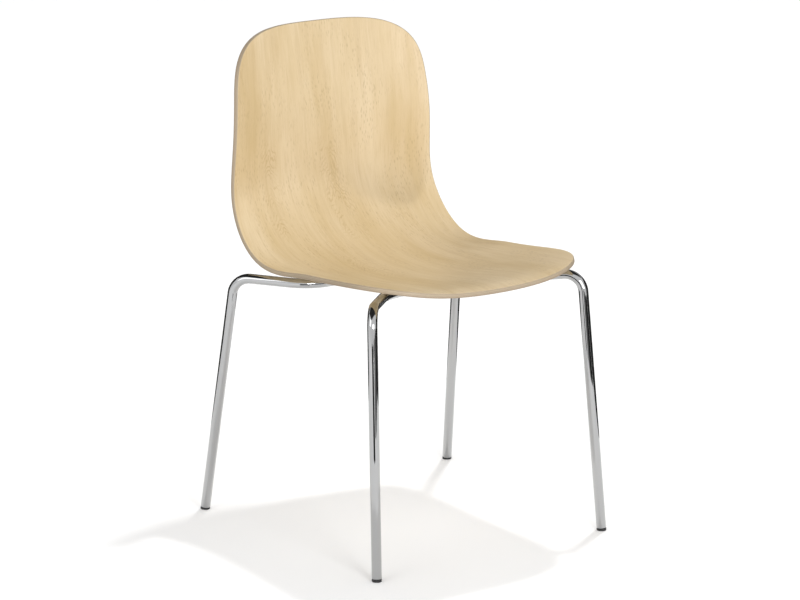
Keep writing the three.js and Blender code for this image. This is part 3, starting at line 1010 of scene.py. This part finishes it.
def build_screw(name, x, y):
    """Button-head screw, driven from below by a hexagon key."""
    seat = PLATE_Z - PLATE_THICKNESS / 2 - WASHER_THICKNESS - 2 * GAP
    bottom = seat - SCREW_HEAD_HEIGHT
    angles = np.linspace(0, 2 * math.pi, FIXING_SIDES, endpoint=False)
    circle = np.stack([np.cos(angles), np.sin(angles)], -1)
    half = SOCKET_HALF_SIDE
    sector = (angles + half) % (2 * half) - half
    hexagon = circle * (SCREW_SOCKET_RADIUS * math.cos(half) / np.cos(sector))[:, None]
    socket_end = bottom + SCREW_SOCKET_DEPTH
    rings = [(hexagon * SOCKET_CENTRE, socket_end + SOCKET_POINT), (hexagon, socket_end)]
    rings += [(hexagon, bottom + SOCKET_CHAMFER), (hexagon * SOCKET_MOUTH, bottom)]
    rings += [(circle * SCREW_HEAD_RADIUS * SCREW_FLAT_SHARE, bottom)]
    for step in range(1, SCREW_CROWN_STEPS + 1):
        turn = math.pi / 2 * step / SCREW_CROWN_STEPS
        radius = SCREW_HEAD_RADIUS * (SCREW_FLAT_SHARE + (1 - SCREW_FLAT_SHARE) * math.sin(turn))
        crown = (SCREW_HEAD_HEIGHT - SCREW_RIM) * (1 - math.cos(turn))
        rings.append((circle * radius, bottom + crown))
    rings += [(circle * SCREW_HEAD_RADIUS, seat), (circle * SCREW_RADIUS, seat)]
    rings += [(circle * SCREW_RADIUS, SCREW_TOP - SCREW_TIP)]
    rings += [(circle * (SCREW_RADIUS - SCREW_TIP), SCREW_TOP), (circle * POINT_RADIUS, SCREW_TOP)]
    vertices = np.concatenate([np.column_stack([flat, np.full(len(flat), z)]) for flat, z in rings])
    vertices += np.array([x, y, 0])
    screw = add_mesh(f"screw_{name}", vertices, ring_faces(len(rings), FIXING_SIDES), [zinc])
    weld_points(screw)
    sharpen(screw, FIXING_SHARP_ANGLE)
    return stand_for(screw, f"seat_screw_{name}")


# ------------------------------------------------------------------ the chair

build_shell()
for end in TUBES:
    build_tube(end)
    for side in SIDES:
        build_glide(end, side)
build_plate()
build_welds()
for side, sign in SIDES.items():
    for end, y in (("front", -BOLT_Y), ("rear", BOLT_Y)):
        spot = (f"{end}_{side}", sign * BOLT_X, BAR_MIDDLE_Y + y)
        build_spacer(*spot)
        build_washer(*spot)
        build_insert(*spot)
        build_screw(*spot)

# ------------------------------------------------------------------ camera

CAMERA_TARGET = Vector((0.0637, 0.0971, 0.3391))
CAMERA_AZIMUTH = -35.13
CAMERA_ELEVATION = 14.45
CAMERA_DISTANCE = 5.666
CAMERA_ROLL = 0.094
CAMERA_LENS = 152.8
SENSOR_WIDTH = 36.0


def direction(azimuth, elevation):
    """Unit vector from the chair towards a viewer at these angles."""
    a, e = math.radians(azimuth), math.radians(elevation)
    return Vector((math.sin(a) * math.cos(e), -math.cos(a) * math.cos(e), math.sin(e)))


def add_camera():
    camera = add_object("camera", bpy.data.cameras.new("camera"))
    back = direction(CAMERA_AZIMUTH, CAMERA_ELEVATION)
    camera.data.lens = CAMERA_LENS
    camera.data.sensor_width = SENSOR_WIDTH
    camera.location = CAMERA_TARGET + back * CAMERA_DISTANCE
    camera.rotation_mode = "QUATERNION"
    roll = Quaternion((0, 0, 1), math.radians(CAMERA_ROLL))
    camera.rotation_quaternion = (-back).to_track_quat("-Z", "Y") @ roll
    bpy.context.scene.camera = camera


# ------------------------------------------------------------------ studio

CHAIR_MIDDLE = Vector((0, 0, 0.40))
FLOOR_HALF = 60.0
FLOOR_SHADE = 0.95
FLOOR_ROUGHNESS = 0.75
CARD_SHADE = 0.01
CARD_ROUGHNESS = 0.9
SKY_STRENGTH = 1.045


def add_softbox(name, azimuth, elevation, distance, size, watts, gleams=True):
    """A square soft light that looks at the chair, and shows in reflections if it gleams."""
    light = bpy.data.lights.new(name, "AREA")
    light.shape = "SQUARE"
    light.size = size
    light.energy = watts
    box = add_object(name, light)
    towards = direction(azimuth, elevation)
    box.location = CHAIR_MIDDLE + towards * distance
    box.rotation_mode = "QUATERNION"
    box.rotation_quaternion = towards.to_track_quat("Z", "Y")
    box.visible_camera = False
    box.visible_glossy = gleams


def add_panel(name, middle, aside, up, material):
    """A flat panel of the studio; aside and up run from its middle to its edges."""
    middle, aside, up = Vector(middle), Vector(aside), Vector(up)
    corners = [middle - aside - up, middle + aside - up, middle + aside + up, middle - aside + up]
    panel = add_mesh(name, corners, [(0, 1, 2, 3)], [material])
    return panel


def plain_material(name, shade, rough):
    n = Nodes(name)
    n.set(Base_Color=colour(shade, shade, shade), Roughness=rough)
    return n.material


def add_floor():
    paper = plain_material("floor_paper", FLOOR_SHADE, FLOOR_ROUGHNESS)
    add_panel("floor", (0, 0, 0), (FLOOR_HALF, 0, 0), (0, FLOOR_HALF, 0), paper)


def add_card(name, middle, aside, up, shade=CARD_SHADE, dims_floor=False):
    """A dark card that shows only in reflections, unless it also dims the floor."""
    card = add_panel(name, middle, aside, up, plain_material(name + "_paint", shade, CARD_ROUGHNESS))
    card.visible_camera = False
    card.visible_shadow = False
    card.visible_diffuse = dims_floor


def add_world():
    world = bpy.data.worlds.new("studio")
    world.use_nodes = True
    background = world.node_tree.nodes["Background"]
    background.inputs["Color"].default_value = (1.0, 1.0, 1.0, 1.0)
    background.inputs["Strength"].default_value = SKY_STRENGTH
    bpy.context.scene.world = world


add_camera()
add_world()
add_floor()
add_softbox("overhead", azimuth=119, elevation=71, distance=3.0, size=0.16, watts=33, gleams=False)
add_softbox("front_fill", azimuth=-13, elevation=10, distance=3.0, size=0.9, watts=37)
add_softbox("left_fill", azimuth=-78, elevation=22, distance=3.2, size=1.6, watts=12)
add_card("flag_right", middle=(0.60, -0.10, 0.36), aside=(0, 0.75, 0), up=(0, 0, 0.36))
add_card("flag_behind", middle=(-0.16, 0.62, 0.42), aside=(0.78, 0, 0), up=(0, 0, 0.42))
add_card("flag_front", middle=(0.28, -0.80, 0.165), aside=(0.26, 0, 0), up=(0, 0, 0.165))
add_card("flag_grey", middle=(-0.10, -0.76, 0.17), aside=(0.19, 0, 0), up=(0, 0, 0.17), shade=0.22)
add_card("flag_camera", middle=(-0.42, -0.52, 0.17), aside=(0.10, -0.072, 0), up=(0, 0, 0.17))
add_card("flag_above", middle=(0, 0.25, 1.70), aside=(1.5, 0, 0), up=(0, 1.4, 0))
add_card("flag_small", middle=(0, 0, 1.75), aside=(0.92, 0, 0), up=(0, 0.92, 0), dims_floor=True)

bpy.context.scene.view_settings.view_transform = "Standard"
